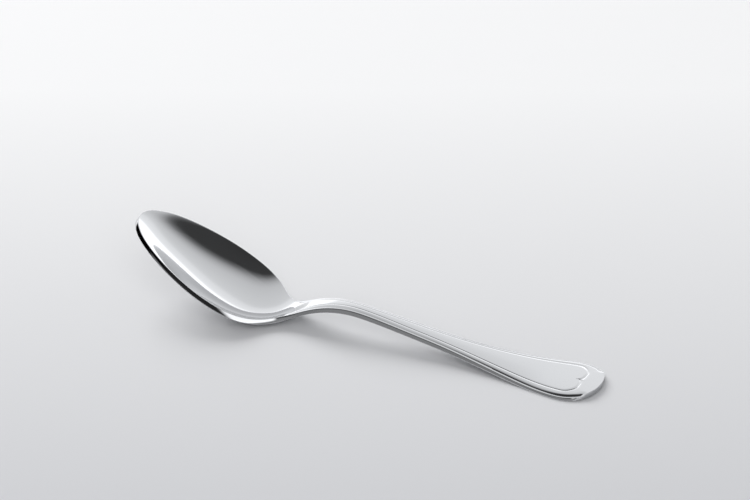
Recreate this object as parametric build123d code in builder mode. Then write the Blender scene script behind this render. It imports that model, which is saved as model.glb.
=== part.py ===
from build123d import *
import os
from math import hypot

# A teaspoon of polished stainless steel, in millimetres.
# X runs from the bowl's tip to the handle's end, Y across, Z up, and the spoon lies on Z = 0 as on a table.

# Plan outline, with places measured from the bowl's tip or from the handle's end
length = 141.5
bowl_width = 31.0
bowl_widest = 27.0
tip_fullness = 9.6
front_fullness = 10.4
heel_fullness = 15.0
root_from_tip = 52.0
root_width = 8.2
root_reach = 11.2
root_taper = 0.14
stem_from_tip = 91.0
stem_width = 6.4
stem_taper = 0.03
waist_reach = 19.0
flare_reach = 18.7
end_widest = 9.0
end_width = 20.3
end_run = 6.5
cap_fullness = 7.8
cap_roundness = 3.2

# Side profile of the upper edge
tip_height = 24.6
tip_slope = 0.5
rim_reach = 11.0
heel_from_tip = 44.0
heel_height = 3.02
heel_reach = 5.5
arch_from_tip = 66.5
arch_height = 8.9
rise_reach = 7.0
crest_reach = 12.2
fall_reach = 7.8
rest_from_end = 14.5
rest_height = 1.32
rest_reach = 16.7

# Cross sections
dish_radius_tip = 14.0
dish_radius = 25.5
dish_radius_heel = 19.8
dish_end_from_tip = 58.0
dish_fade = 12.0
crown_height = 0.22
crown_ramp = 22.0
tip_thickness = 1.45
bowl_thickness = 1.05
neck_thickness = 1.9
stem_thickness = 1.5
end_thickness = 1.25

# Edge and border
rim_radius = 0.3
edge_radius = 0.2
groove_width = 0.5
groove_depth = 0.18
outer_inset_neck = 0.55
outer_inset_end = 0.8
inner_inset_neck = 1.35
inner_inset_end = 2.3
border_from_tip = 60.0
cusp_from_end = 8.1
lobe_from_end = 4.8
lobe_offset = 3.4
lobe_pull = 1.8
cusp_pull = 2.0
border_fade = 8.0

# Where the three regions meet
heel_cut_from_tip = 48.0
neck_cut_from_tip = 79.0

# Spare material round the outline before it is trimmed
overrun = 3.0
stations = 24

tip_x = -length / 2
end_x = length / 2
widest_x = tip_x + bowl_widest
root_x = tip_x + root_from_tip
stem_x = tip_x + stem_from_tip
broad_x = end_x - end_widest
heel_x = tip_x + heel_from_tip
arch_x = tip_x + arch_from_tip
rest_x = end_x - rest_from_end
border_x = tip_x + border_from_tip
heel_cut_x = tip_x + heel_cut_from_tip
neck_cut_x = tip_x + neck_cut_from_tip


# The half outline is five Bezier curves, each a list of four points, drawn in from the edge by an inset
def outline_curves(inset_neck=0, inset_end=0):
    half_bowl = bowl_width / 2
    half_root = root_width / 2 - inset_neck
    half_stem = stem_width / 2 - inset_neck
    half_end = end_width / 2 - inset_end
    last_x = end_x - inset_end
    root = (root_x, half_root)
    stem = (stem_x, half_stem)
    broad = (broad_x, half_end)
    front = [
        (tip_x, 0),
        (tip_x, tip_fullness),
        (widest_x - front_fullness, half_bowl),
        (widest_x, half_bowl),
    ]
    shoulder = [
        (widest_x, half_bowl),
        (widest_x + heel_fullness, half_bowl),
        (root_x - root_reach, half_root + root_taper * root_reach),
        root,
    ]
    waist = [
        root,
        (root_x + waist_reach, half_root - root_taper * waist_reach),
        (stem_x - waist_reach, half_stem - stem_taper * waist_reach),
        stem,
    ]
    flare = [
        stem,
        (stem_x + flare_reach, half_stem + stem_taper * flare_reach),
        (broad_x - end_run, half_end),
        broad,
    ]
    cap_x = broad_x + cap_fullness * (last_x - broad_x) / end_widest
    cap = [broad, (cap_x, half_end), (last_x, cap_roundness), (last_x, 0)]
    return [front, shoulder, waist, flare, cap]


# The inner border line: its sides follow the outline and its end is a bracket, two lobes and a cusp
def bracket_curves(inset_neck, inset_end, spread):
    waist, flare = outline_curves(inset_neck, inset_end)[2:4]
    lobe = (end_x - lobe_from_end - spread, lobe_offset)
    cusp = (end_x - cusp_from_end - 2 * spread, 0)
    corner_pull = (lobe[0] - broad_x) / 2
    outside = [flare[3], (broad_x + corner_pull, flare[3][1]), (lobe[0], lobe_offset + lobe_pull), lobe]
    inside = [lobe, (lobe[0], lobe_offset - lobe_pull), (cusp[0] + cusp_pull, 0), cusp]
    return [waist, flare, outside, inside]


# The upper edge's height along the spoon is four Bezier curves
def height_curves():
    tip = (tip_x, tip_height)
    heel = (heel_x, heel_height)
    arch = (arch_x, arch_height)
    rest = (rest_x, rest_height)
    rim_pull = (tip_x + rim_reach, tip_height - tip_slope * rim_reach)
    rim = [tip, rim_pull, (heel_x - heel_reach, heel_height), heel]
    rise = [heel, (heel_x + rise_reach, heel_height), (arch_x - crest_reach, arch_height), arch]
    fall = [arch, (arch_x + fall_reach, arch_height), (rest_x - rest_reach, rest_height), rest]
    third = rest_from_end / 3
    flat = [rest, (rest_x + third, rest_height), (end_x - third, rest_height), (end_x, rest_height)]
    return [rim, rise, fall, flat]


def bezier_point(points, t):
    s = 1 - t
    weights = (s**3, 3 * s**2 * t, 3 * s * t**2, t**3)
    return tuple(sum(w * p[axis] for w, p in zip(weights, points)) for axis in (0, 1))


# The second coordinate of a chain of curves at a place along X
def value_at(curves, x):
    curve = next((c for c in curves if x <= c[3][0]), curves[-1])
    low, high = 0.0, 1.0
    for _ in range(50):
        middle = (low + high) / 2
        if bezier_point(curve, middle)[0] < x:
            low = middle
        else:
            high = middle
    return bezier_point(curve, low)[1]


# Eases from one value to another between two places
def ease(x, start, finish, first, last):
    t = min(max((x - start) / (finish - start), 0), 1)
    return first + (last - first) * t * t * (3 - 2 * t)


def thickness_at(x):
    if x < heel_x:
        return ease(x, tip_x, heel_x, tip_thickness, bowl_thickness)
    if x < arch_x:
        return ease(x, heel_x, arch_x, bowl_thickness, neck_thickness)
    if x < stem_x:
        return ease(x, arch_x, stem_x, neck_thickness, stem_thickness)
    return ease(x, stem_x, rest_x, stem_thickness, end_thickness)


# Rise of the dish and of the crown, each as height over half width squared
def dish_at(x):
    if x < widest_x:
        radius = ease(x, tip_x, widest_x, dish_radius_tip, dish_radius)
    else:
        radius = ease(x, widest_x, heel_x, dish_radius, dish_radius_heel)
    dish_end = tip_x + dish_end_from_tip
    return ease(x, dish_end - dish_fade, dish_end, 1, 0) / (2 * radius)


def crown_at(x, half_width):
    dish_end = tip_x + dish_end_from_tip
    return ease(x, dish_end - dish_fade, dish_end - dish_fade + crown_ramp, 0, crown_height) / half_width**2


def middle_height(x):
    half_width = value_at(outline_curves(), x)
    crown = crown_at(x, half_width) * half_width**2 if half_width > 0 else 0
    return value_at(height_curves(), x) - dish_at(x) * half_width**2 + crown


# Middle line of the upper face carried straight on past both ends
def profile(x):
    inside = min(max(x, tip_x), end_x)
    step = 0.05
    behind = max(inside - step, tip_x)
    ahead = min(inside + step, end_x)
    slope = (middle_height(ahead) - middle_height(behind)) / (ahead - behind)
    return middle_height(inside) + slope * (x - inside), slope


# One cross section of the sheet: a dished or crowned upper face over a lower face
def section(x, depth):
    inside = min(max(x, tip_x), end_x - end_widest)
    reach = max(value_at(outline_curves(), inside), root_width / 2) + overrun
    reach = bowl_width / 2 + overrun if x < widest_x else reach
    height, slope = profile(x)
    height -= ease(x, border_x, border_x + border_fade, -depth / 2, depth)
    dish = dish_at(x)
    crown = crown_at(x, value_at(outline_curves(), max(inside, heel_x)))
    upper = dish - crown
    floor = height - crown_height * ease(x, heel_x, arch_x, 0, 1) - thickness_at(x) * hypot(1, slope)
    with BuildSketch(Plane.YZ.offset(x)) as face:
        with BuildLine():
            edge_top = height + upper * reach**2
            edge_low = floor + dish * reach**2
            Bezier((-reach, edge_top), (0, height - upper * reach**2), (reach, edge_top))
            Line((reach, edge_top), (reach, edge_low))
            Bezier((reach, edge_low), (0, floor - dish * reach**2), (-reach, edge_low))
            Line((-reach, edge_low), (-reach, edge_top))
        make_face()
    return face.sketch


# The untrimmed sheet, or the same sheet let down along the handle by the depth of a groove
def sheet(depth):
    first = tip_x - overrun
    pitch = (end_x + overrun - first) / stations
    with BuildPart() as blank:
        loft([section(first + index * pitch, depth) for index in range(stations + 1)])
    return blank.part


# A face bounded by a chain of border or outline curves and the spoon's middle line
def half_face(curves):
    with BuildSketch(Plane.XY.offset(-overrun)) as face:
        with BuildLine():
            start, finish = curves[0][0], curves[-1][3]
            Line(finish, (start[0], 0))
            if start[1] > 0:
                Line((start[0], 0), start)
            for curve in curves:
                Bezier(*curve)
        make_face()
    return face.sketch


# A groove follows the band between two border lines and stops on the lowered sheet
def groove(outer, inner):
    with BuildPart() as cutter:
        extrude(half_face(outer), amount=tip_height)
        extrude(half_face(inner), amount=tip_height, mode=Mode.SUBTRACT)
        add(sheet(groove_depth), mode=Mode.SUBTRACT)
    return cutter.solids().sort_by(Axis.Z)[-1]


# The edges of a face that lie along the outline
def outline_edges(face):
    return [edge for edge in face.edges() if edge.center().Y > root_width / 4]


outer_groove = groove(
    outline_curves(outer_inset_neck, outer_inset_end)[2:],
    outline_curves(outer_inset_neck + groove_width, outer_inset_end + groove_width)[2:],
)
inner_groove = groove(
    bracket_curves(inner_inset_neck, inner_inset_end, 0),
    bracket_curves(inner_inset_neck + groove_width, inner_inset_end + groove_width, groove_width),
)

# Half the spoon: the trimmed sheet, its edges rounded, with two grooves that leave a raised thread
with BuildPart() as half:
    add(sheet(0))
    extrude(half_face(outline_curves()), amount=2 * tip_height, mode=Mode.INTERSECT)
    fillet(outline_edges(half.faces().sort_by(SortBy.AREA)[-2:].sort_by(Axis.Z)[1]), radius=rim_radius)
    fillet(outline_edges(half.faces().sort_by(SortBy.AREA)[-2:].sort_by(Axis.Z)[0]), radius=edge_radius)
    add(outer_groove, mode=Mode.SUBTRACT)
    add(inner_groove, mode=Mode.SUBTRACT)

resting = Pos(0, 0, -half.part.bounding_box().min.Z) * half.part

# Each region is cut from the half spoon and mirrored
with BuildPart() as bowl:
    add(resting)
    split(bisect_by=Plane.YZ.offset(heel_cut_x), keep=Keep.BOTTOM)
    mirror(about=Plane.XZ)

with BuildPart() as neck:
    add(resting)
    split(bisect_by=Plane.YZ.offset(heel_cut_x), keep=Keep.TOP)
    split(bisect_by=Plane.YZ.offset(neck_cut_x), keep=Keep.BOTTOM)
    mirror(about=Plane.XZ)

with BuildPart() as handle:
    add(resting)
    split(bisect_by=Plane.YZ.offset(neck_cut_x), keep=Keep.TOP)
    mirror(about=Plane.XZ)

os.makedirs("parts", exist_ok=True)
bowl.part.label = "bowl"
export_step(bowl.part, "parts/bowl.step")
neck.part.label = "neck"
export_step(neck.part, "parts/neck.step")
handle.part.label = "handle"
export_step(handle.part, "parts/handle.step")
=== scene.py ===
import bpy
import math
import numpy as np
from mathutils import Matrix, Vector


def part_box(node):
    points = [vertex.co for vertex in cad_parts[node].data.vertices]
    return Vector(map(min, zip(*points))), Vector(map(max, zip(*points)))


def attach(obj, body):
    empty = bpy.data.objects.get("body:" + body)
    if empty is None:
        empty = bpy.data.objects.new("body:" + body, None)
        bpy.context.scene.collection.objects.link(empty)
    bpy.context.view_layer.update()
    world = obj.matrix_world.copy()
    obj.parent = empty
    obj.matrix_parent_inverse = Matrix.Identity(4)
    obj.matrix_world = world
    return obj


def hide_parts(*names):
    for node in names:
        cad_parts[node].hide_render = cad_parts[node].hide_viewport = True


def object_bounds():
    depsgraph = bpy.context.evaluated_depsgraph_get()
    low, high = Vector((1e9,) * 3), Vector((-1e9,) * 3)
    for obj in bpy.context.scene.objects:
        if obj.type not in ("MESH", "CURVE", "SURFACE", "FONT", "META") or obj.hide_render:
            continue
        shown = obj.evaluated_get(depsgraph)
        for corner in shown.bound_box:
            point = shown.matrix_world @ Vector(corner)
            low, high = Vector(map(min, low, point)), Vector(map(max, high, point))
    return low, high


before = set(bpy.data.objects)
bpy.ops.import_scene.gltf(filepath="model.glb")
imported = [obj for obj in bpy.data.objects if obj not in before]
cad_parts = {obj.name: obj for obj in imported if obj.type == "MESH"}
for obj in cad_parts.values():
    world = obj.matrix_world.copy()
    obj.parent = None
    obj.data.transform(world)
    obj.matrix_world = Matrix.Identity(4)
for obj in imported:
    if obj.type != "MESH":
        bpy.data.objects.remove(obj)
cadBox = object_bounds()
mm = 0.001

# the photograph's view, in millimetres and degrees
cameraView = {
    "azimuth": 24.5,
    "elevation": 28.0,
    "distance": 1000.0,
    "aside": 2.6,
    "above": 24.24,
    "along": 0.25,  # moves the camera along the spoon
    "nearest": 50.0,
    "lens": 171.7,
    "sensor": 36.0,
}

# the spoon in millimetres, places measured from the bowl's tip or from the handle's end
spoonShape = {
    # how far the outline stays inside the CAD box
    "tipInset": 0.02, "endInset": 0.04, "sideInset": 0.02,
    # half outline
    "bowlWidest": 27.0, "tipFullness": 9.6, "frontFullness": 10.4, "heelFullness": 16.8,
    "rootFromTip": 52.0, "rootWidth": 8.8, "rootReach": 11.2, "rootTaper": 0.1,
    "stemFromTip": 91.0, "stemWidth": 7.85, "stemTaper": 0.04, "waistReach": 19.0,
    "flareReach": 18.7, "endWidest": 9.0, "endWidth": 20.7, "endRun": 6.5,
    "capFullness": 7.8, "capRoundness": 3.2,
    # height of the upper edge
    "tipHeight": 24.3, "tipSlope": 0.5, "rimReach": 11.0,
    "heelFromTip": 44.0, "heelHeight": 3.02, "heelReach": 5.5,
    "archFromTip": 66.5, "archHeight": 8.85, "riseReach": 7.0, "crestReach": 12.2, "fallReach": 7.8,
    "restFromEnd": 14.5, "restHeight": 1.14, "restReach": 16.7, "endRise": 0.2, "endEase": 0.3,
    # dish of the bowl and crown of the handle
    "dishPlaces": (1.2, 10.7, 20.7, 30.7, 38.7, 44.7),
    "dishRadii": (12.3, 18.3, 21.4, 23.5, 22.1, 21.7),
    "roundPlaces": (4.0, 14.0, 26.0, 40.0),
    "dishRoundness": (-0.31, -0.41, -0.04, -0.04),  # below zero the dish is straighter towards the rim
    "dishSmoothing": 3.0, "leastHalf": 4.0,
    "dishEndFromTip": 55.5, "dishFade": 10.5,
    "crownHeight": 0.2, "crownRamp": 22.0,
    "smoothing": 1.6,
    # thickness, with a thicker rim round the bowl that fades out at the heel
    "bowlThickness": 1.45, "archThickness": 1.55, "stemThickness": 1.42, "endThickness": 1.42,
    "rimThickness": 1.6, "rimFade": 3.5, "rimBeforeHeel": 12.0, "rimPastHeel": 6.0,
    "tipExtra": 0.2, "tipRun": 26.0,
    # walls: how far the rim's upper edge stands inside its lower one
    "rimLean": 0.72, "tipLean": 0.9, "tipLeanRun": 8.0,
    "leanBeforeHeel": 8.0, "leanBeforeRoot": 2.0, "leanInward": 2.5,
    "wallSlope": 0.36,  # the handle's wall leans out towards the table
    "capUpright": (5.0, 2.0),  # and stands upright round the very end
    # rounding of the edges, which changes between bowl and handle
    "rimRound": 0.2, "underRound": 0.24, "handleRound": 0.06, "roundBeforeHeel": 6.0,
}

# lines of the border, as distances from the edge on the neck and at the broad end, with their heights
borderLines = {
    "edge": (0.0, 0.0, -0.26, -0.55),
    "ridge": (0.3, 0.42, -0.27, -0.56),
    "foot": (0.4, 0.55, -0.3, -0.6),
    "shoulder": (1.2, 1.6, -0.02, -0.04),
    "thread": (1.36, 2.1, 0.0, 0.0),
    "innerGroove": (1.86, 2.76, -0.1, -0.14),
    "panel": (2.05, 2.96, 0.0, 0.0),
}
lineNames = tuple(borderLines)

borderShape = {
    "hollow": (1.1, 1.5),  # the flank between foot and shoulder, straight at 1
    "softness": 0.25,  # how much each line is rounded into the next
    "lift": 0.28,
    "broadenBeforeStem": 12.0,
    "cuspFromEnd": 7.0, "lobeFromEnd": 5.3, "lobeOffset": 3.6, "lobePull": 1.7, "cuspPull": 1.6,
    "bracketSpread": {"thread": -0.45, "innerGroove": 0.0, "panel": 0.2},
    "startFromTip": 44.5, "fade": 7.0,
    "innerStartFromTip": 50.0, "innerFade": 7.0,
    "stopFromEnd": (2.8, 1.3),  # the ridge runs out round the very end
    "bowlStretch": 2.3, "stretchBeforeHeel": 14.0,  # spreads the same mesh lines over the plain bowl
    "stretchLimit": 0.76,  # share of a row that the border may take
}

# how finely the sheet is divided, and how closely its mesh is cleaned, in millimetres
sheetMesh = {
    "curveStep": 0.05,
    "arcSteps": 4000,
    "rowSpacing": 0.5,
    "endSpacing": 0.16,
    "endZone": 17.0,
    "endBlend": 6.0,
    "columns": (2, 2, 7, 4, 3, 3, 12),
    "tipSpine": 9.0,
    "endSpine": 12.0,
    "crossingSlack": 0.2,
    "merge": 0.002,
    "sliver": 0.0005,
    "cut": 0.00001,
    "onCut": 0.001,
    "sharpDegrees": 50,
    "roundSegments": 4,
    "mostCorners": 8,  # a face with more corners than this closes a cut
}

tipX = cadBox[0][0] / mm + spoonShape["tipInset"]
endX = cadBox[1][0] / mm - spoonShape["endInset"]
bowlHalf = cadBox[1][1] / mm - spoonShape["sideInset"]
widestX = tipX + spoonShape["bowlWidest"]
heelX = tipX + spoonShape["heelFromTip"]
rootX = tipX + spoonShape["rootFromTip"]
archX = tipX + spoonShape["archFromTip"]
stemX = tipX + spoonShape["stemFromTip"]
restX = endX - spoonShape["restFromEnd"]
broadX = endX - spoonShape["endWidest"]
broadenX = stemX - borderShape["broadenBeforeStem"]


def ease(x, start, finish, first, last):
    t = np.clip((x - start) / (finish - start), 0, 1)
    return first + (last - first) * t**3 * (10 - 15 * t + 6 * t * t)


def bezier(points, count=400):
    t = np.linspace(0, 1, count)[:, None]
    p = np.array(points, dtype=float)
    return (1 - t)**3 * p[0] + 3 * (1 - t)**2 * t * p[1] + 3 * (1 - t) * t * t * p[2] + t**3 * p[3]


def chain(curves):
    parts = [bezier(curve) for curve in curves]
    return np.vstack([parts[0]] + [part[1:] for part in parts[1:]])


# half outline from the tip to the end
def outlineCurves(insetNeck=0.0, insetEnd=0.0):
    s = spoonShape
    root = (rootX, s["rootWidth"] / 2 - insetNeck)
    stem = (stemX, s["stemWidth"] / 2 - insetNeck)
    broad = (broadX, s["endWidth"] / 2 - insetEnd)
    lastX = endX - insetEnd
    front = [(tipX, 0), (tipX, s["tipFullness"]),
             (widestX - s["frontFullness"], bowlHalf), (widestX, bowlHalf)]
    shoulder = [(widestX, bowlHalf), (widestX + s["heelFullness"], bowlHalf),
                (rootX - s["rootReach"], root[1] + s["rootTaper"] * s["rootReach"]), root]
    waist = [root, (rootX + s["waistReach"], root[1] - s["rootTaper"] * s["waistReach"]),
             (stemX - s["waistReach"], stem[1] - s["stemTaper"] * s["waistReach"]), stem]
    flare = [stem, (stemX + s["flareReach"], stem[1] + s["stemTaper"] * s["flareReach"]),
             (broadX - s["endRun"], broad[1]), broad]
    capX = broadX + s["capFullness"] * (lastX - broadX) / s["endWidest"]
    cap = [broad, (capX, broad[1]), (lastX, s["capRoundness"]), (lastX, 0)]
    return [front, shoulder, waist, flare, cap]


# inner border line with the bracket at its end: two lobes and a cusp
def bracketCurves(insetNeck, insetEnd, spread):
    b = borderShape
    waist, flare = outlineCurves(insetNeck, insetEnd)[2:4]
    broad = flare[3]
    lobe = (endX - b["lobeFromEnd"] - spread, b["lobeOffset"])
    cusp = (endX - b["cuspFromEnd"] - 2 * spread, 0)
    pull = (lobe[0] - broad[0]) / 2
    outside = [broad, (broad[0] + pull, broad[1]), (lobe[0], b["lobeOffset"] + b["lobePull"]), lobe]
    inside = [lobe, (lobe[0], b["lobeOffset"] - b["lobePull"]), (cusp[0] + b["cuspPull"], 0), cusp]
    return [waist, flare, outside, inside]


# height of the upper edge from the tip to the end
def heightCurves():
    s = spoonShape
    third = s["restFromEnd"] / 3
    rim = [(tipX, s["tipHeight"]), (tipX + s["rimReach"], s["tipHeight"] - s["tipSlope"] * s["rimReach"]),
           (heelX - s["heelReach"], s["heelHeight"]), (heelX, s["heelHeight"])]
    rise = [rim[3], (heelX + s["riseReach"], s["heelHeight"]),
            (archX - s["crestReach"], s["archHeight"]), (archX, s["archHeight"])]
    fall = [rise[3], (archX + s["fallReach"], s["archHeight"]),
            (restX - s["restReach"], s["restHeight"]), (restX, s["restHeight"])]
    flat = [fall[3], (restX + third, s["restHeight"]),
            (endX - third, s["restHeight"] + s["endEase"] * s["endRise"]),
            (endX, s["restHeight"] + s["endRise"])]
    return [rim, rise, fall, flat]


# evens out the curvature where two curves meet, so that reflections flow across
def smoothed(values, step, width):
    reach = int(4 * width / step)
    kernel = np.exp(-0.5 * (np.arange(-reach, reach + 1) * step / width)**2)
    before = 2 * values[0] - values[reach:0:-1]
    after = 2 * values[-1] - values[-2:-reach - 2:-1]
    return np.convolve(np.concatenate([before, values, after]), kernel / kernel.sum(), mode="valid")


# the border grows out of the plain heel
def borderStrength(x):
    start = tipX + borderShape["startFromTip"]
    return ease(x, start, start + borderShape["fade"], 0, 1)


# the upper face, its edge, its wall and the sheet's thickness
class sheetForm:
    def __init__(self):
        step = sheetMesh["curveStep"]
        self.x = np.arange(tipX, endX + step / 2, step)
        self.setThickness()
        self.setWall()
        self.setFace(step)

    def setThickness(self):
        s = spoonShape
        self.thick = ease(self.x, heelX, archX, s["bowlThickness"], s["archThickness"])
        self.thick += ease(self.x, archX, stemX, 0, s["stemThickness"] - s["archThickness"])
        self.thick += ease(self.x, stemX, restX, 0, s["endThickness"] - s["stemThickness"])
        rimStart, rimStop = heelX - s["rimBeforeHeel"], heelX + s["rimPastHeel"]
        self.rimExtra = ease(self.x, rimStart, rimStop, s["rimThickness"] - s["bowlThickness"], 0)
        self.rimExtra += ease(self.x, tipX, tipX + s["tipRun"], s["tipExtra"], 0)

    # the outline is the wall's foot, and the upper edge stands inside it by the wall's lean
    def setWall(self):
        s = spoonShape
        outline = chain(outlineCurves())
        along = outline[:, 0]
        around = np.gradient(outline, axis=0)
        around /= np.linalg.norm(around, axis=1)[:, None]
        out = np.stack([-around[:, 1], around[:, 0]], axis=1)
        drop = ease(along, broadenX, broadX, *borderLines["edge"][2:])
        handleLean = s["wallSlope"] * (np.interp(along, self.x, self.thick) + drop)
        handleLean *= ease(along, endX - s["capUpright"][0], endX - s["capUpright"][1], 1, 0)
        lean = ease(along, tipX, tipX + s["tipLeanRun"], s["tipLean"], s["rimLean"])
        toHandle = ease(along, heelX - s["leanBeforeHeel"], rootX - s["leanBeforeRoot"], 0, 1)
        lean += toHandle * (handleLean - lean)
        self.lean = (along, lean)
        self.wallFoot = lean[:, None] * out
        self.edge = outline - self.wallFoot
        self.edge[0, 1] = 0
        self.edge[-1, 1] = 0

    # each cross section is a middle height with a square and a fourth power of the way across
    def setFace(self, step):
        s = spoonShape
        edgeX, edgeY = self.edge[:, 0], self.edge[:, 1]
        fromTip = self.x - tipX
        half = np.interp(self.x, edgeX, edgeY)
        heights = chain(heightCurves())
        rim = np.interp(self.x, heights[:, 0], heights[:, 1])
        dishEnd = tipX + s["dishEndFromTip"]
        dishStop = dishEnd - s["dishFade"]
        radius = smoothed(np.interp(fromTip, s["dishPlaces"], s["dishRadii"]), step, s["dishSmoothing"])
        dish = ease(self.x, dishStop, dishEnd, 1, 0) / (2 * radius)
        roundness = np.interp(fromTip, s["roundPlaces"], s["dishRoundness"])
        roundness = smoothed(roundness, step, s["dishSmoothing"])
        square = dish * (1 - roundness)
        fourth = dish * roundness / np.maximum(half, s["leastHalf"])**2
        crown = ease(self.x, dishStop, dishStop + s["crownRamp"], 0, s["crownHeight"])
        lift = borderShape["lift"] * borderStrength(self.x)
        across = np.interp(np.clip(self.x, heelX, broadX), edgeX, edgeY)
        middle = rim - square * half**2 - fourth * half**4 + crown + lift
        self.middle = smoothed(middle, step, s["smoothing"])
        self.square = smoothed(square - crown / across**2, step, s["smoothing"])
        self.fourth = smoothed(fourth, step, s["smoothing"])

    def height(self, x, y):
        square, fourth = np.interp(x, self.x, self.square), np.interp(x, self.x, self.fourth)
        return np.interp(x, self.x, self.middle) + square * y**2 + fourth * y**4

    def leanAt(self, x):
        return np.interp(x, *self.lean)

    # the bowl's sheet is thicker along its rim
    def thickness(self, x, inward):
        extra = np.interp(x, self.x, self.rimExtra) * np.exp(-(inward / spoonShape["rimFade"])**2)
        return np.interp(x, self.x, self.thick) + extra


form = sheetForm()


# rows run from the edge to the spine, fanned round the tip and round the end
def sheetRows():
    m = sheetMesh
    edge = form.edge
    arc = np.concatenate([[0], np.cumsum(np.linalg.norm(np.diff(edge, axis=0), axis=1))])
    fine = np.linspace(0, arc[-1], m["arcSteps"])
    endStart = arc[-1] - m["endZone"]
    spacing = ease(fine, endStart - m["endBlend"], endStart, m["rowSpacing"], m["endSpacing"])
    count = np.concatenate([[0], np.cumsum(np.diff(fine) / spacing[1:])])
    rows = np.interp(np.linspace(0, count[-1], int(count[-1]) + 1), count, fine)
    starts = np.stack([np.interp(rows, arc, edge[:, 0]), np.interp(rows, arc, edge[:, 1])], axis=1)
    fromTip, fromEnd = starts[:, 0] - tipX, endX - starts[:, 0]
    spine = starts[:, 0].copy()
    tipFan, endFan = 2 * m["tipSpine"], 2 * m["endSpine"]
    nearTip, nearEnd = fromTip < tipFan, fromEnd < endFan
    spine[nearTip] = tipX + m["tipSpine"] + fromTip[nearTip]**2 / (2 * tipFan)
    spine[nearEnd] = endX - m["endSpine"] - fromEnd[nearEnd]**2 / (2 * endFan)
    ends = np.stack([spine, np.zeros(len(spine))], axis=1)
    return starts, ends


# distance along each row at which it crosses a border line
def crossings(starts, ends, line):
    tiny = 1e-12
    found = np.zeros(len(starts))
    for index, (start, end) in enumerate(zip(starts, ends)):
        way = end - start
        length = np.linalg.norm(way)
        way = way / length
        side = np.array([-way[1], way[0]])
        offset = (line - start) @ side
        along = (line - start) @ way
        flips = np.nonzero(offset[:-1] * offset[1:] <= 0)[0]
        best = length
        for flip in flips:
            share = offset[flip] / (offset[flip] - offset[flip + 1] + tiny)
            reached = along[flip] + share * (along[flip + 1] - along[flip])
            if -sheetMesh["crossingSlack"] <= reached < best:
                best = reached
        found[index] = best
    return found


# distance from the edge of every mesh line of a row
def rowDistances(starts, ends):
    b = borderShape
    length = np.linalg.norm(ends - starts, axis=1)
    x = starts[:, 0]
    broaden = ease(x, broadenX, broadX, 0, 1)
    stretch = ease(x, heelX - b["stretchBeforeHeel"], rootX, b["bowlStretch"], 1)
    stretch = np.minimum(stretch, b["stretchLimit"] * length / borderLines["panel"][0])
    marks = []
    for name in lineNames:
        neck, end = borderLines[name][:2]
        mark = (neck + (end - neck) * broaden) * stretch
        if name in b["bracketSpread"]:
            insetNeck, insetEnd = neck + form.leanAt(stemX), end + form.leanAt(broadX)
            line = chain(bracketCurves(insetNeck, insetEnd, b["bracketSpread"][name]))
            mark = np.where(x > stemX, crossings(starts, ends, line), mark)
        marks.append(mark)
    marks.append(length)
    distances = [marks[0][:, None]]
    shares = [np.zeros(len(x))[:, None]]
    for index, columns in enumerate(sheetMesh["columns"]):
        for column in range(1, columns + 1):
            part = column / columns
            distances.append((marks[index] + part * (marks[index + 1] - marks[index]))[:, None])
            shares.append(np.full((len(x), 1), index + part))
    return np.hstack(distances), np.hstack(shares), length, broaden


# height of the border at every mesh line, where a whole share is a line and the rest lies between two
def borderHeights(share, x, rowX, broaden):
    b = borderShape
    lifts = np.array([borderLines[name][2:] for name in lineNames] + [(0.0, 0.0)])
    low = np.minimum(share.astype(int), len(lineNames) - 1)
    part = share - low
    blend = (1 - b["softness"]) * part + b["softness"] * part * part * (3 - 2 * part)
    hollow = b["hollow"][0] + broaden * (b["hollow"][1] - b["hollow"][0])
    blend = np.where(low == lineNames.index("foot"), 1 - (1 - part)**hollow, blend)
    onNeck = lifts[low, 0] + blend * (lifts[low + 1, 0] - lifts[low, 0])
    onEnd = lifts[low, 1] + blend * (lifts[low + 1, 1] - lifts[low, 1])
    innerStart = tipX + b["innerStartFromTip"]
    inner = ease(x, innerStart, innerStart + b["innerFade"], 0, 1)
    outer = borderStrength(x) * ease(rowX, endX - b["stopFromEnd"][0], endX - b["stopFromEnd"][1], 1, 0)
    strength = np.where(share <= lineNames.index("thread"), outer, inner)
    return (onNeck + broaden * (onEnd - onNeck)) * strength


# moves the lower edge from square under the sheet to where the wall's foot belongs
def footShift(starts, distances):
    step = sheetMesh["curveStep"]
    x, y = starts[:, 0], starts[:, 1]
    slopeX = (form.height(x + step, y) - form.height(x - step, y)) / (2 * step)
    slopeY = (form.height(x, y + step) - form.height(x, y - step)) / (2 * step)
    under = form.thickness(x, 0) / np.hypot(1, np.hypot(slopeX, slopeY))
    square = np.stack([slopeX, slopeY], axis=1) * under[:, None]
    nearest = [np.argmin(np.sum((form.edge - start)**2, axis=1)) for start in starts]
    shift = form.wallFoot[nearest] - square
    taper = np.clip(1 - distances / spoonShape["leanInward"], 0, 1)
    return taper * shift[:, :1], taper * shift[:, 1:]


# near side, then far side, sharing the spine
def bothSides(values, mirrored=False):
    near = -values if mirrored else values
    return np.hstack([near, values[:, -2::-1]]).ravel()


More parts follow.
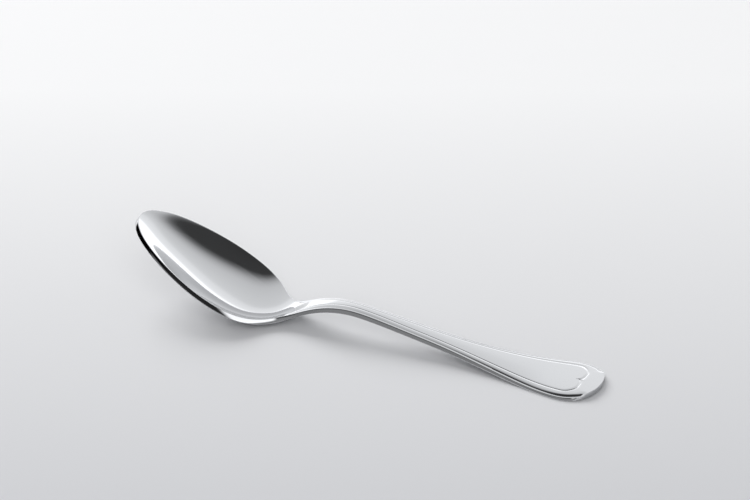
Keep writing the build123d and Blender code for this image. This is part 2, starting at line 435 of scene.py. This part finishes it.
# place, thickness, border height and foot of every vertex of the sheet
def sheetLayout():
    starts, ends = sheetRows()
    distances, shares, length, broaden = rowDistances(starts, ends)
    part = distances / length[:, None]
    shiftX, shiftY = footShift(starts, distances)
    rows, columns = len(starts), 2 * distances.shape[1] - 1
    x = bothSides(starts[:, :1] + part * (ends[:, :1] - starts[:, :1]))
    y = bothSides(starts[:, 1:] + part * (ends[:, 1:] - starts[:, 1:]), mirrored=True)
    rowX, broaden = np.repeat(starts[:, 0], columns), np.repeat(broaden, columns)
    return {
        "rows": rows,
        "columns": columns,
        "points": np.stack([x, y, form.height(x, y)], axis=1),
        "thickness": form.thickness(x, bothSides(distances)),
        "border": borderHeights(bothSides(shares), x, rowX, broaden),
        "lean": np.stack([bothSides(shiftX), bothSides(shiftY, mirrored=True), np.zeros(len(x))], axis=1),
    }


def deselectAll():
    if bpy.context.object and bpy.context.object.mode != "OBJECT":
        bpy.ops.object.mode_set(mode="OBJECT")
    bpy.ops.object.select_all(action="DESELECT")


def makeActive(piece):
    deselectAll()
    piece.select_set(True)
    bpy.context.view_layer.objects.active = piece


def readAll(items, name, width=1, kind=float):
    values = np.zeros(len(items) * width, dtype=kind)
    items.foreach_get(name, values)
    return values.reshape(-1, width) if width > 1 else values


# the upper face as a grid, which carries what its thickness and its border will need
def layGrid(layout, thickest):
    deselectAll()
    bpy.ops.mesh.primitive_grid_add(
        x_subdivisions=layout["columns"] - 1, y_subdivisions=layout["rows"] - 1, size=1)
    piece = bpy.context.object
    piece.name = "spoon"
    piece.data.name = "spoon"
    mesh = piece.data
    assert len(mesh.vertices) == len(layout["points"]), (len(mesh.vertices), len(layout["points"]))
    mesh.vertices.foreach_set("co", layout["points"].ravel() * mm)
    mesh.update()
    border = mesh.attributes.new("border", "FLOAT", "POINT")
    border.data.foreach_set("value", layout["border"] * mm)
    lean = mesh.attributes.new("lean", "FLOAT_VECTOR", "POINT")
    lean.data.foreach_set("vector", layout["lean"].ravel() * mm)
    group = piece.vertex_groups.new(name="thickness")
    for index, thickness in enumerate(layout["thickness"]):
        group.add([index], float(thickness / thickest), "REPLACE")
    return piece


# merges the points that meet at the tip and the end, and turns the upper face up
def cleanGrid(piece):
    makeActive(piece)
    bpy.ops.object.mode_set(mode="EDIT")
    bpy.ops.mesh.select_all(action="SELECT")
    bpy.ops.mesh.remove_doubles(threshold=sheetMesh["merge"] * mm)
    bpy.ops.mesh.dissolve_degenerate(threshold=sheetMesh["sliver"] * mm)
    bpy.ops.mesh.select_all(action="SELECT")
    bpy.ops.mesh.normals_make_consistent(inside=False)
    bpy.ops.object.mode_set(mode="OBJECT")
    if readAll(piece.data.polygons, "normal", 3)[:, 2].mean() < 0:
        bpy.ops.object.mode_set(mode="EDIT")
        bpy.ops.mesh.select_all(action="SELECT")
        bpy.ops.mesh.flip_normals()
        bpy.ops.object.mode_set(mode="OBJECT")


# gives the sheet its thickness, then its border above and its wall's foot below
def thicken(piece, thickest):
    topCount = len(piece.data.vertices)
    wall = piece.modifiers.new("thickness", "SOLIDIFY")
    wall.thickness = thickest * mm
    wall.offset = -1
    wall.vertex_group = "thickness"
    wall.thickness_vertex_group = 0
    bpy.ops.object.modifier_apply(modifier="thickness")
    mesh = piece.data
    places = readAll(mesh.vertices, "co", 3)
    places[:topCount, 2] += readAll(mesh.attributes["border"].data, "value")[:topCount]
    places[topCount:] += readAll(mesh.attributes["lean"].data, "vector", 3)[topCount:]
    mesh.vertices.foreach_set("co", places.ravel())
    mesh.update()
    return topCount


# wide rounding on the bowl's rim, fine rounding along the handle
def roundEdges(piece, topCount):
    s = spoonShape
    bpy.ops.object.mode_set(mode="EDIT")
    bpy.ops.mesh.select_mode(type="EDGE")
    bpy.ops.mesh.select_all(action="DESELECT")
    bpy.ops.mesh.edges_select_sharp(sharpness=math.radians(sheetMesh["sharpDegrees"]))
    bpy.ops.object.mode_set(mode="OBJECT")
    mesh = piece.data
    sharp = readAll(mesh.edges, "select", kind=bool)
    pairs = readAll(mesh.edges, "vertices", 2, int)
    along = readAll(mesh.vertices, "co", 3)[pairs].mean(axis=1)[:, 0] / mm
    onTop = pairs.max(axis=1) < topCount
    rounding = np.where(onTop, s["rimRound"], s["underRound"])
    toHandle = ease(along, heelX - s["roundBeforeHeel"], rootX, 0, 1)
    rounding += toHandle * (s["handleRound"] - rounding)
    weights = mesh.attributes.new("bevel_weight_edge", "FLOAT", "EDGE")
    weights.data.foreach_set("value", np.where(sharp, rounding / s["rimRound"], 0.0))
    soften = piece.modifiers.new("rounding", "BEVEL")
    soften.width = s["rimRound"] * mm
    soften.segments = sheetMesh["roundSegments"]
    soften.limit_method = "WEIGHT"
    bpy.ops.object.modifier_apply(modifier="rounding")


# sets the spoon down on the table
def settle(piece):
    mesh = piece.data
    for name in ("border", "lean"):
        mesh.attributes.remove(mesh.attributes[name])
    piece.vertex_groups.clear()
    places = readAll(mesh.vertices, "co", 3)
    bowlSide = places[:, 0] < 0
    print("lowest points under the bowl and the handle, mm:",
          round(places[bowlSide, 2].min() / mm, 3), round(places[~bowlSide, 2].min() / mm, 3))
    places[:, 2] -= places[:, 2].min()
    mesh.vertices.foreach_set("co", places.ravel())
    mesh.update()
    bpy.ops.object.shade_smooth()


def makeSpoon():
    layout = sheetLayout()
    thickest = form.thick.max() + form.rimExtra.max()
    piece = layGrid(layout, thickest)
    cleanGrid(piece)
    topCount = thicken(piece, thickest)
    roundEdges(piece, topCount)
    settle(piece)
    faceCount = len(piece.data.polygons)
    print("spoon:", layout["rows"], "rows,", layout["columns"], "columns,", faceCount, "faces")
    return piece


# polished stainless steel with the fine lines and faint haze that polishing leaves
steelFinish = {
    "colour": (0.58, 0.585, 0.595, 1.0),
    "roughness": (0.04, 0.09),
    "lineScale": (60.0, 2600.0, 2600.0),
    "lineDetail": 3.0,
    "hazeScale": 90.0,
    "hazeDetail": 2.0,
    "markRange": (0.1, 0.45),
    "lineBump": 0.02,
    "lineDepth": 0.02,  # millimetres
}


def polishedSteel():
    look = steelFinish
    material = bpy.data.materials.new("polishedSteel")
    material.use_nodes = True
    nodes, links = material.node_tree.nodes, material.node_tree.links
    shader = nodes["Principled BSDF"]
    shader.inputs["Base Color"].default_value = look["colour"]
    shader.inputs["Metallic"].default_value = 1.0
    place = nodes.new("ShaderNodeTexCoord")
    stretch = nodes.new("ShaderNodeMapping")
    stretch.inputs["Scale"].default_value = look["lineScale"]
    lines = nodes.new("ShaderNodeTexNoise")
    lines.inputs["Scale"].default_value = 1.0
    lines.inputs["Detail"].default_value = look["lineDetail"]
    haze = nodes.new("ShaderNodeTexNoise")
    haze.inputs["Scale"].default_value = look["hazeScale"]
    haze.inputs["Detail"].default_value = look["hazeDetail"]
    both = nodes.new("ShaderNodeMath")
    both.operation = "MULTIPLY"
    spread = nodes.new("ShaderNodeMapRange")
    spread.inputs["From Min"].default_value = look["markRange"][0]
    spread.inputs["From Max"].default_value = look["markRange"][1]
    spread.inputs["To Min"].default_value = look["roughness"][0]
    spread.inputs["To Max"].default_value = look["roughness"][1]
    bump = nodes.new("ShaderNodeBump")
    bump.inputs["Strength"].default_value = look["lineBump"]
    bump.inputs["Distance"].default_value = look["lineDepth"] * mm
    links.new(place.outputs["Object"], stretch.inputs["Vector"])
    links.new(stretch.outputs["Vector"], lines.inputs["Vector"])
    links.new(place.outputs["Object"], haze.inputs["Vector"])
    links.new(lines.outputs["Fac"], both.inputs[0])
    links.new(haze.outputs["Fac"], both.inputs[1])
    links.new(both.outputs["Value"], spread.inputs["Value"])
    links.new(spread.outputs["Result"], shader.inputs["Roughness"])
    links.new(lines.outputs["Fac"], bump.inputs["Height"])
    links.new(bump.outputs["Normal"], shader.inputs["Normal"])
    return material


# the pieces along the spoon and the CAD node that each one stands for
spoonPieces = {"dishedBowl": "bowl", "archedNeck": "neck", "threadedHandle": "handle"}


# cuts the finished sheet where the CAD nodes meet, and keeps its shading across the cuts
def cutSpoon(whole):
    cuts = [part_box("bowl")[1][0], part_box("neck")[1][0]]
    makeActive(whole)
    bpy.ops.object.mode_set(mode="EDIT")
    for cut in cuts:
        bpy.ops.mesh.select_all(action="SELECT")
        bpy.ops.mesh.bisect(plane_co=(cut, 0, 0), plane_no=(1, 0, 0), threshold=sheetMesh["cut"] * mm)
    bpy.ops.mesh.select_all(action="SELECT")
    bpy.ops.mesh.dissolve_degenerate(threshold=sheetMesh["sliver"] * mm)
    bpy.ops.object.mode_set(mode="OBJECT")
    normals = readAll(whole.data.vertex_normals, "vector", 3)
    flow = whole.data.attributes.new("flow", "FLOAT_VECTOR", "POINT")
    flow.data.foreach_set("vector", normals.ravel())
    limits = [-math.inf] + cuts + [math.inf]
    pieces = []
    for index, name in enumerate(spoonPieces):
        makeActive(whole)
        bpy.ops.object.duplicate()
        piece = bpy.context.object
        piece.name = name
        piece.data.name = name
        keepPart(piece, limits[index], limits[index + 1])
        closeCut(piece, limits[index], -1)
        closeCut(piece, limits[index + 1], 1)
        keepShading(piece)
        print(piece.name, len(piece.data.polygons), "faces")
        pieces.append(piece)
    bpy.data.objects.remove(whole)
    return pieces


def keepPart(piece, low, high):
    makeActive(piece)
    bpy.ops.object.mode_set(mode="EDIT")
    bpy.ops.mesh.select_mode(type="FACE")
    bpy.ops.mesh.select_all(action="DESELECT")
    bpy.ops.object.mode_set(mode="OBJECT")
    along = readAll(piece.data.polygons, "center", 3)[:, 0]
    piece.data.polygons.foreach_set("select", (along < low) | (along > high))
    bpy.ops.object.mode_set(mode="EDIT")
    bpy.ops.mesh.delete(type="FACE")
    bpy.ops.object.mode_set(mode="OBJECT")


# one flat face that looks outward closes a cut
def closeCut(piece, cut, outward):
    mesh = piece.data
    bpy.ops.object.mode_set(mode="EDIT")
    bpy.ops.mesh.select_mode(type="EDGE")
    bpy.ops.mesh.select_all(action="DESELECT")
    bpy.ops.object.mode_set(mode="OBJECT")
    onCut = np.abs(readAll(mesh.vertices, "co", 3)[:, 0] - cut) < sheetMesh["onCut"] * mm
    chosen = onCut[readAll(mesh.edges, "vertices", 2, int)].all(axis=1)
    if not chosen.any():
        return
    mesh.edges.foreach_set("select", chosen)
    bpy.ops.object.mode_set(mode="EDIT")
    bpy.ops.mesh.edge_face_add()
    bpy.ops.object.mode_set(mode="OBJECT")
    cap = next(face for face in mesh.polygons if face.select)
    inward = cap.normal.x * outward < 0
    bpy.ops.object.mode_set(mode="EDIT")
    if inward:
        bpy.ops.mesh.flip_normals()
    bpy.ops.object.mode_set(mode="OBJECT")


# the uncut spoon's normals on its own faces, flat ones on the faces that close the cuts
def keepShading(piece):
    mesh = piece.data
    flow = readAll(mesh.attributes["flow"].data, "vector", 3)
    shading = flow[readAll(mesh.loops, "vertex_index", kind=int)]
    for face in mesh.polygons:
        if face.loop_total > sheetMesh["mostCorners"]:
            shading[face.loop_start:face.loop_start + face.loop_total] = face.normal
    mesh.attributes.remove(mesh.attributes["flow"])
    mesh.normals_split_custom_set([tuple(normal) for normal in shading])


steel = polishedSteel()
for piece in cutSpoon(makeSpoon()):
    piece.data.materials.clear()
    piece.data.materials.append(steel)
    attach(piece, "root")
    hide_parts(spoonPieces[piece.name])
print("spoon shaped, cut into its pieces and finished")

turn = math.radians(cameraView["azimuth"])
tilt = math.radians(cameraView["elevation"])
asideWay = np.array([math.cos(turn), math.sin(turn), 0])
depthWay = np.array([-math.sin(turn), math.cos(turn), 0])
upWay = np.array([-math.sin(tilt) * math.sin(turn), math.sin(tilt) * math.cos(turn), math.cos(tilt)])
backWay = np.array([math.sin(turn) * math.cos(tilt), -math.cos(turn) * math.cos(tilt), math.sin(tilt)])


def addCamera():
    v = cameraView
    place = v["distance"] * backWay + v["aside"] * asideWay + v["above"] * upWay
    place = place + np.array([v["along"], 0, 0])
    deselectAll()
    bpy.ops.object.camera_add(location=place * mm, rotation=(math.pi / 2 - tilt, 0, turn))
    camera = bpy.context.object
    camera.data.lens = v["lens"]
    camera.data.sensor_width = v["sensor"]
    camera.data.sensor_fit = "HORIZONTAL"
    camera.data.clip_start = v["nearest"] * mm
    bpy.context.scene.camera = camera


# pale table with painted light falloff: its colour grows lighter away from the camera
floorLook = {
    "size": 6.0,
    # the near and far colours paint the light's falloff across the table
    "near": (-0.10, (0.64, 0.645, 0.665, 1.0)),
    "far": (0.16, (0.93, 0.93, 0.935, 1.0)),
    "roughness": 0.6,
    "gloss": 0.1,
}


def addFloor():
    deselectAll()
    bpy.ops.mesh.primitive_plane_add(size=floorLook["size"])
    floor = bpy.context.object
    floor.name = "floor"
    material = bpy.data.materials.new("paleTablePaintedFalloff")
    material.use_nodes = True
    nodes, links = material.node_tree.nodes, material.node_tree.links
    shader = nodes["Principled BSDF"]
    shader.inputs["Roughness"].default_value = floorLook["roughness"]
    shader.inputs["Specular IOR Level"].default_value = floorLook["gloss"]
    place = nodes.new("ShaderNodeTexCoord")
    depth = nodes.new("ShaderNodeVectorMath")
    depth.operation = "DOT_PRODUCT"
    depth.inputs[1].default_value = depthWay
    spread = nodes.new("ShaderNodeMapRange")
    spread.inputs["From Min"].default_value = floorLook["near"][0]
    spread.inputs["From Max"].default_value = floorLook["far"][0]
    # painted light: this colour mix brightens the table towards the back
    colour = nodes.new("ShaderNodeMix")
    colour.data_type = "RGBA"
    colour.inputs[6].default_value = floorLook["near"][1]
    colour.inputs[7].default_value = floorLook["far"][1]
    links.new(place.outputs["Object"], depth.inputs[0])
    links.new(depth.outputs["Value"], spread.inputs["Value"])
    links.new(spread.outputs["Result"], colour.inputs[0])
    links.new(colour.outputs[2], shader.inputs["Base Color"])
    floor.data.materials.append(material)


# studio that the steel mirrors: a bright wall behind, dark to the left and round the camera
studioLight = {
    # brightness against how squarely a direction faces the wall, and against its height
    "wall": ((0.0, 0.07), (0.05, 0.27), (0.1, 0.54), (0.15, 0.74), (0.2, 0.87), (0.3, 1.0), (1.0, 1.0)),
    "height": ((0.0, 1.8), (0.27, 1.7), (0.34, 1.3), (0.42, 1.21),
               (0.52, 1.14), (0.6, 1.0), (0.75, 0.92), (1.0, 0.88)),
    "leftDark": (0.82, 0.62),
    "cameraDark": {"facing": (0.05, 0.5), "share": 0.65},
    "cameraGlow": {"level": 0.3, "height": (0.34, 0.2), "facing": (0.2, 0.4)},
    "softbox": {"way": (0.8, -0.45, 0.4), "spread": (0.82, 0.95), "height": (0.12, 0.25), "level": 1.7},
    "tint": (0.975, 0.985, 1.0, 1.0),
    "dome": 0.4,  # soft light on the table alone
    "shown": 0.9,  # what the camera sees past the table
    "lamps": {
        "backSoftbox": {"place": (-1.6, 1.15, 1.45), "size": 1.9, "power": 46.0},
        "frontFill": {"place": (0.9, -1.8, 1.6), "size": 2.0, "power": 20.0},
    },
}


def addWorld():
    look = studioLight
    world = bpy.data.worlds.new("studio")
    bpy.context.scene.world = world
    world.use_nodes = True
    nodes, links = world.node_tree.nodes, world.node_tree.links
    nodes.clear()
    place = nodes.new("ShaderNodeTexCoord")
    parts = nodes.new("ShaderNodeSeparateXYZ")
    links.new(place.outputs["Generated"], parts.inputs["Vector"])

    def towards(way):
        dot = nodes.new("ShaderNodeVectorMath")
        dot.operation = "DOT_PRODUCT"
        dot.inputs[1].default_value = way
        links.new(place.outputs["Generated"], dot.inputs[0])
        return dot.outputs["Value"]

    def ranged(value, low, high):
        step = nodes.new("ShaderNodeMapRange")
        step.interpolation_type = "SMOOTHSTEP"
        step.inputs["From Min"].default_value = low
        step.inputs["From Max"].default_value = high
        links.new(value, step.inputs["Value"])
        return step.outputs["Result"]

    def combined(operation, first, second):
        step = nodes.new("ShaderNodeMath")
        step.operation = operation
        for socket, value in zip(step.inputs, (first, second)):
            if isinstance(value, float):
                socket.default_value = value
            else:
                links.new(value, socket)
        return step.outputs["Value"]

    def curved(value, stops):
        step = nodes.new("ShaderNodeFloatCurve")
        curve = step.mapping.curves[0]
        brightest = max(stop[1] for stop in stops)
        curve.points[0].location = (stops[0][0], stops[0][1] / brightest)
        curve.points[1].location = (stops[-1][0], stops[-1][1] / brightest)
        for stop in stops[1:-1]:
            curve.points.new(stop[0], stop[1] / brightest)
        step.mapping.extend = "HORIZONTAL"
        step.mapping.update()
        links.new(value, step.inputs["Value"])
        return combined("MULTIPLY", step.outputs["Value"], brightest)

    def background(strength):
        shader = nodes.new("ShaderNodeBackground")
        shader.inputs["Color"].default_value = look["tint"]
        if isinstance(strength, float):
            shader.inputs["Strength"].default_value = strength
        else:
            links.new(strength, shader.inputs["Strength"])
        return shader.outputs["Background"]

    def chosen(ray, otherwise, seen):
        mix = nodes.new("ShaderNodeMixShader")
        for socket, value in zip(mix.inputs, (ray, otherwise, seen)):
            links.new(value, socket)
        return mix.outputs["Shader"]

    facing = towards(depthWay)
    nearness = towards(-depthWay)
    left = towards(-asideWay)
    height = parts.outputs["Z"]
    level = combined("MULTIPLY", curved(facing, look["wall"]), curved(height, look["height"]))
    level = combined("MULTIPLY", level, ranged(left, *look["leftDark"]))
    dark = look["cameraDark"]
    shade = combined("MULTIPLY", ranged(nearness, *dark["facing"]), dark["share"])
    level = combined("MULTIPLY", level, combined("SUBTRACT", 1.0, shade))
    glow = look["cameraGlow"]
    low = combined("MULTIPLY", ranged(height, *glow["height"]), ranged(nearness, *glow["facing"]))
    level = combined("ADD", level, combined("MULTIPLY", low, glow["level"]))
    box = look["softbox"]
    aimed = ranged(towards(box["way"]), *box["spread"])
    onBox = combined("MULTIPLY", aimed, ranged(height, *box["height"]))
    level = combined("ADD", level, combined("MULTIPLY", onBox, box["level"]))
    path = nodes.new("ShaderNodeLightPath")
    mirrored = chosen(path.outputs["Is Glossy Ray"], background(look["dome"]), background(level))
    whole = chosen(path.outputs["Is Camera Ray"], mirrored, background(look["shown"]))
    out = nodes.new("ShaderNodeOutputWorld")
    links.new(whole, out.inputs["Surface"])


# lamps for the table, which the steel does not mirror
def addLamps():
    for name, look in studioLight["lamps"].items():
        deselectAll()
        bpy.ops.object.light_add(type="AREA", location=look["place"])
        lamp = bpy.context.object
        lamp.name = name
        lamp.data.shape = "DISK"
        lamp.data.size = look["size"]
        lamp.data.energy = look["power"]
        x, y, z = look["place"]
        lamp.rotation_euler = (math.atan2(math.hypot(x, y), z), 0, math.atan2(x, -y))
        lamp.visible_glossy = False


addCamera()
addFloor()
addWorld()
addLamps()
bpy.context.scene.view_settings.view_transform = "Standard"
print("camera, table and light placed")
